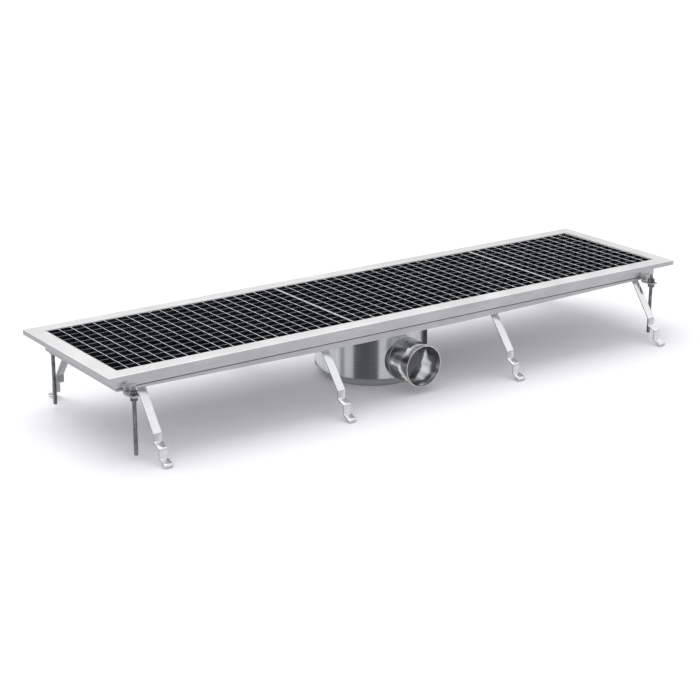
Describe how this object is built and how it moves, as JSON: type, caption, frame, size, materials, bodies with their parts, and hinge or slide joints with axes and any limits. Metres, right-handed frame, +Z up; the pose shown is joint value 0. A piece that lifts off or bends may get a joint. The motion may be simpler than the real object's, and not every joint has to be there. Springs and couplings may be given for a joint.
{
  "type": "channel drain",
  "caption": "Long box drainage channel with mesh gratings, a floor that falls to a central gully with a horizontal outlet, levelling legs and anchor straps.",
  "frame": {"origin": "on the ground under the middle of the gully pot's base", "axes": "+X along the channel, -Y the way the outlet points, +Z up"},
  "size_m": [1.79, 0.6066, 0.216],
  "materials": {
    "satin_sheet": "satin",
    "brushed_pot": "brushed",
    "grating_bars": "satin",
    "threaded_rod": "satin",
    "fastener": "satin",
    "bracket_plate": "satin",
    "strap_strip": "satin",
    "insert_sheet": "satin"
  },
  "bodies": {
    "channel": {"binding_bars_left": "grating_bars", "binding_bars_middle": "grating_bars", "binding_bars_right": "grating_bars", "grating_left": "grating_bars", "grating_middle": "grating_bars", "grating_right": "grating_bars", "gully_pot": "brushed_pot", "leg_brackets": "bracket_plate", "leg_nuts_lower": "fastener", "leg_nuts_upper": "fastener", "outlet_pipe": "brushed_pot", "rim_frame": "satin_sheet", "sediment_basket": "insert_sheet", "sloped_pan": "satin_sheet", "strap_back_inner_left": "strap_strip", "strap_back_inner_right": "strap_strip", "strap_back_outer_left": "strap_strip", "strap_back_outer_right": "strap_strip", "strap_front_inner_left": "strap_strip", "strap_front_inner_right": "strap_strip", "strap_front_outer_left": "strap_strip", "strap_front_outer_right": "strap_strip", "trap_cup": "insert_sheet", "trap_funnel": "insert_sheet"},
    "leg_back_left": {"leg_rod_back_left": "threaded_rod"},
    "leg_back_right": {"leg_rod_back_right": "threaded_rod"},
    "leg_front_left": {"leg_rod_front_left": "threaded_rod"},
    "leg_front_right": {"leg_rod_front_right": "threaded_rod"}
  },
  "joints": [
    {"name": "level_back_left", "type": "slide", "parent": "channel", "child": "leg_back_left", "axis": [0, 0, 1], "range_m": [-0.006, 0.034]},
    {"name": "level_back_right", "type": "slide", "parent": "channel", "child": "leg_back_right", "axis": [0, 0, 1], "range_m": [-0.006, 0.034]},
    {"name": "level_front_left", "type": "slide", "parent": "channel", "child": "leg_front_left", "axis": [0, 0, 1], "range_m": [-0.006, 0.034]},
    {"name": "level_front_right", "type": "slide", "parent": "channel", "child": "leg_front_right", "axis": [0, 0, 1], "range_m": [-0.006, 0.034]}
  ]
}
